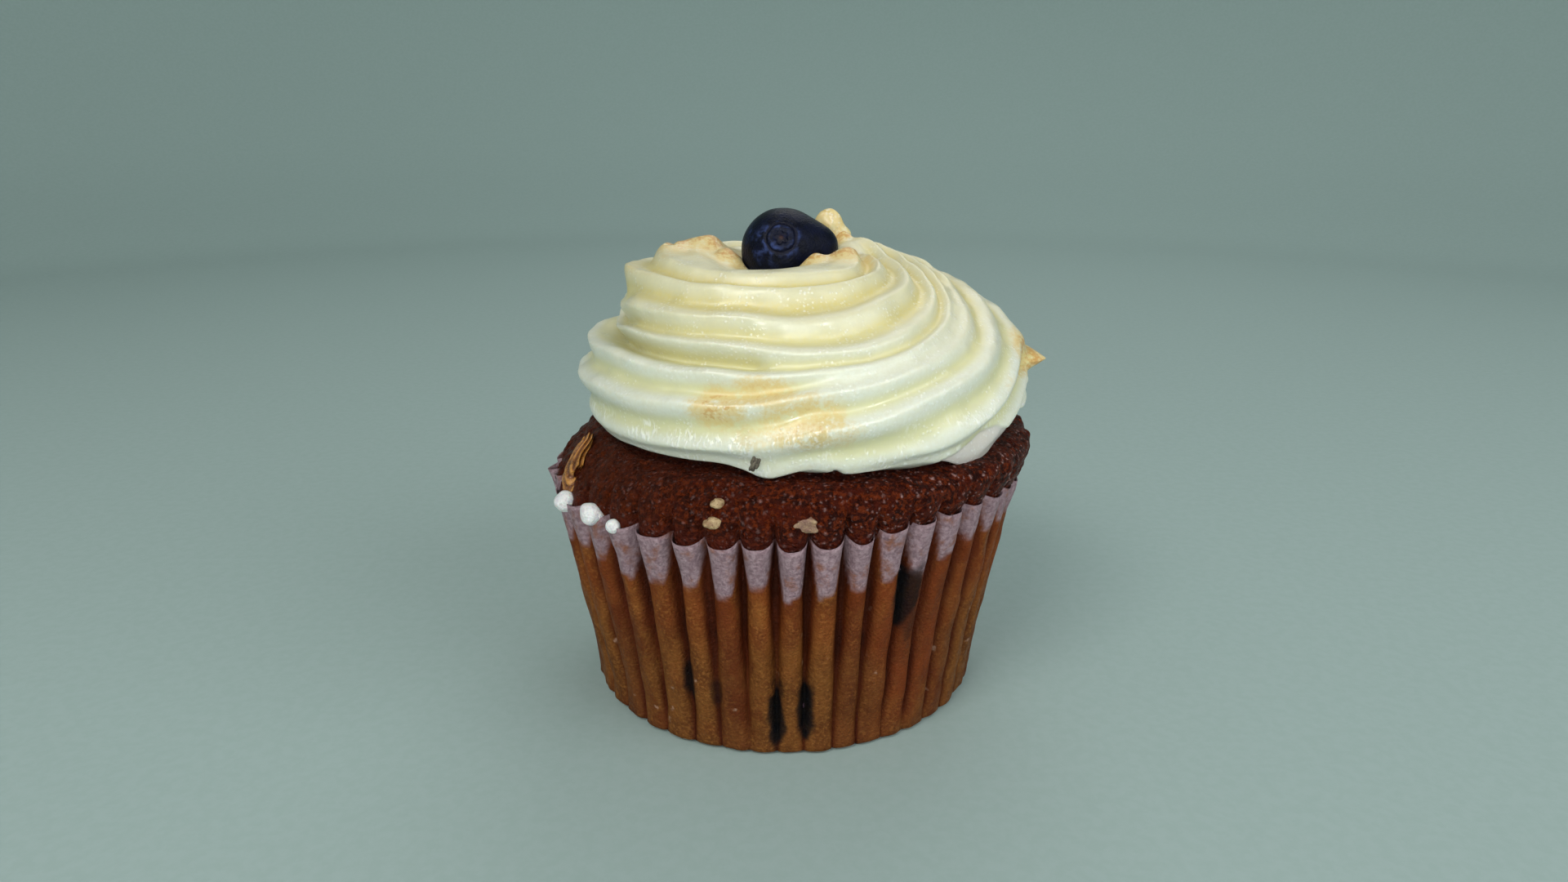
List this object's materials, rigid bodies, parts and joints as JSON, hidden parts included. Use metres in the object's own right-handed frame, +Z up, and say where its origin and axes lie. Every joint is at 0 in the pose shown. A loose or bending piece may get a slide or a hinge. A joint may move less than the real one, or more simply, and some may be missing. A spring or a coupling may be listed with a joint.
{
  "type": "cupcake",
  "caption": "Blueberry cupcake baked in a fluted paper case, with a piped swirl of cream cheese frosting and a fresh blueberry on top.",
  "frame": {"origin": "centre of the flat foot that the cupcake stands on", "axes": "+Z up through the berry on top, -Y towards the side with the icing beads to its left and the drawn-out peak of frosting to its right, +X to the right seen from that side"},
  "size_m": [0.0617, 0.061, 0.0616],
  "materials": {
    "case_paper": "greaseproof baking paper, soaked golden brown by the cake and lilac grey where it stands free at the rim",
    "cake_crumb": "dark red-brown baked crust, moist, with small glossy sugar specks",
    "frosting": "cream cheese frosting, satin, ivory on the ridges and yellow in the grooves, lightly toasted in places",
    "blueberry_skin": "dark navy skin with patches of dusty bloom",
    "baked_blueberry": "burst blueberry, near black and juicy",
    "nut": "pale baked nut",
    "icing": "white set icing, satin"
  },
  "bodies": {
    "root": {"paper_case": "case_paper", "cake": "cake_crumb", "frosting_swirl": "frosting", "blueberry": "blueberry_skin", "baked_blueberry_right": "baked_blueberry", "baked_blueberry_front": "baked_blueberry", "baked_blueberry_left": "baked_blueberry", "baked_blueberry_back_left": "baked_blueberry", "baked_blueberry_back_right": "baked_blueberry", "nut_piece_upper": "nut", "nut_piece_lower": "nut", "nut_piece_rim": "nut", "nut_piece_left": "nut", "icing_bead_left": "icing", "icing_bead_middle": "icing", "icing_bead_right": "icing"}
  },
  "joints": []
}
